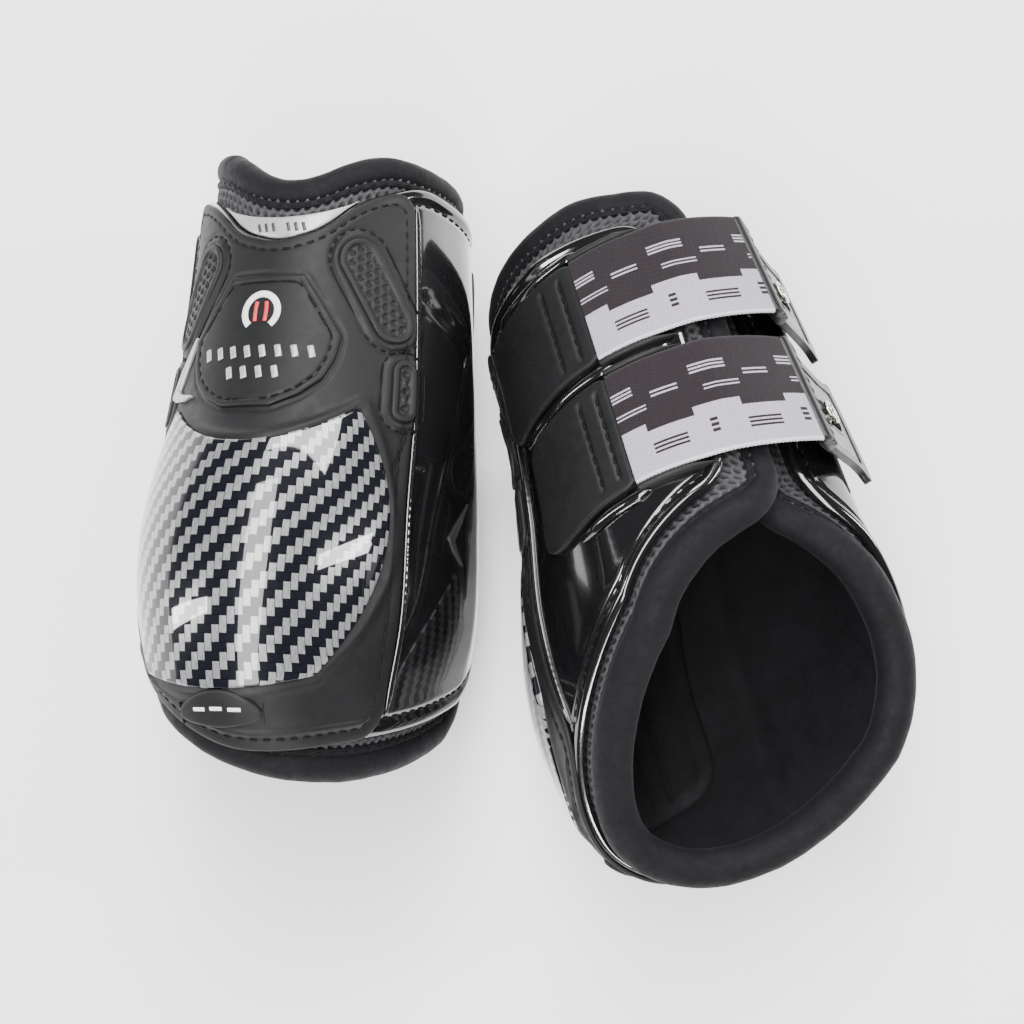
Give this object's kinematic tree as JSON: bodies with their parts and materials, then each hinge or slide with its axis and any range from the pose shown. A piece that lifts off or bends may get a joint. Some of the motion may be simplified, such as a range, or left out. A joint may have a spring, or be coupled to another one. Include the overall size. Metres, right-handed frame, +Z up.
{
  "type": "tendon boots",
  "caption": "Pair of short cupped leg boots: glossy moulded wings, woven-look strike plate, soft rolled edges and elastic straps that hook on metal studs.",
  "frame": {"origin": "centre of the pair's bounding box in X and Y, at the height of the floor they lie on", "axes": "+Z up from the floor, +Y towards the collars of both boots, +X from the right boot to the left boot"},
  "size_m": [0.2121, 0.2176, 0.1195],
  "materials": {
    "gloss_tpu": "high gloss moulded polyurethane",
    "matte_tpu": "matte moulded polyurethane",
    "carbon_weave": "woven carbon pattern under clear gloss",
    "silver_print": "silver satin print",
    "air_mesh": "open knit spacer mesh",
    "neoprene": "neoprene with smooth knit face",
    "gel_pad": "soft gel",
    "elastic_web": "woven elastic in dark and pale bands",
    "tab_rubber": "satin moulded rubber",
    "stud_metal": "polished"
  },
  "bodies": {
    "right_boot": {"r_shell": "gloss_tpu", "r_back_shield": "matte_tpu", "r_strike_plate": "carbon_weave", "r_plate_label": "matte_tpu", "r_badge": "matte_tpu", "r_badge_accent": "silver_print", "r_collar_label": "silver_print", "r_vents_inner": "matte_tpu", "r_vents_outer": "matte_tpu", "r_air_mesh": "air_mesh", "r_liner": "neoprene", "r_edge_roll": "neoprene", "r_impact_pad": "gel_pad", "r_edge_welt": "gloss_tpu", "r_anchor_upper": "matte_tpu", "r_anchor_lower": "matte_tpu", "r_studs": "stud_metal"},
    "right_strap_upper": {"r_elastic_upper": "elastic_web"},
    "right_tab_upper": {"r_tab_upper": "tab_rubber"},
    "right_strap_lower": {"r_elastic_lower": "elastic_web"},
    "right_tab_lower": {"r_tab_lower": "tab_rubber"},
    "left_boot": {"l_shell": "gloss_tpu", "l_back_shield": "matte_tpu", "l_strike_plate": "carbon_weave", "l_plate_label": "matte_tpu", "l_badge": "matte_tpu", "l_badge_accent": "silver_print", "l_collar_label": "silver_print", "l_vents_inner": "matte_tpu", "l_vents_outer": "matte_tpu", "l_air_mesh": "air_mesh", "l_liner": "neoprene", "l_edge_roll": "neoprene", "l_impact_pad": "gel_pad", "l_edge_welt": "gloss_tpu", "l_anchor_upper": "matte_tpu", "l_anchor_lower": "matte_tpu", "l_studs": "stud_metal"},
    "left_strap_upper": {"l_elastic_upper": "elastic_web"},
    "left_tab_upper": {"l_tab_upper": "tab_rubber"},
    "left_strap_lower": {"l_elastic_lower": "elastic_web"},
    "left_tab_lower": {"l_tab_lower": "tab_rubber"}
  },
  "joints": [
    {"name": "left_boot_slide", "type": "slide", "parent": "right_boot", "child": "left_boot", "axis": [1, 0, 0], "range_m": [0, 0.2]},
    {"name": "right_strap_upper_swing", "type": "hinge", "parent": "right_boot", "child": "right_strap_upper", "pos_m": [-0.08352, 0.06481, 0.01981], "axis": [0.0947, 0.9927, 0.075], "range_deg": [0, 85]},
    {"name": "right_tab_upper_peel", "type": "hinge", "parent": "right_strap_upper", "child": "right_tab_upper", "pos_m": [-0.03964, 0.06476, 0.00352], "axis": [0.0278, 0.9967, 0.0758], "range_deg": [0, 55]},
    {"name": "right_strap_lower_swing", "type": "hinge", "parent": "right_boot", "child": "right_strap_lower", "pos_m": [-0.0876, 0.02288, 0.01701], "axis": [0.0958, 0.9937, 0.0575], "range_deg": [0, 85]},
    {"name": "right_tab_lower_peel", "type": "hinge", "parent": "right_strap_lower", "child": "right_tab_lower", "pos_m": [-0.04102, 0.02257, 0.00374], "axis": [0.0278, 0.9967, 0.0758], "range_deg": [0, 55]},
    {"name": "left_strap_upper_swing", "type": "hinge", "parent": "left_boot", "child": "left_strap_upper", "pos_m": [0.02049, 0.04903, 0.09116], "axis": [0.2174, -0.8958, 0.3877], "range_deg": [0, 85]},
    {"name": "left_tab_upper_peel", "type": "hinge", "parent": "left_strap_upper", "child": "left_tab_upper", "pos_m": [0.06545, 0.06132, 0.0869], "axis": [0.2788, -0.8897, 0.3616], "range_deg": [0, 55]},
    {"name": "left_strap_lower_swing", "type": "hinge", "parent": "left_boot", "child": "left_strap_lower", "pos_m": [0.02947, 0.01104, 0.10726], "axis": [0.2107, -0.9035, 0.3733], "range_deg": [0, 85]},
    {"name": "left_tab_lower_peel", "type": "hinge", "parent": "left_strap_lower", "child": "left_tab_lower", "pos_m": [0.0759, 0.02235, 0.09934], "axis": [0.2788, -0.8897, 0.3616], "range_deg": [0, 55]}
  ]
}
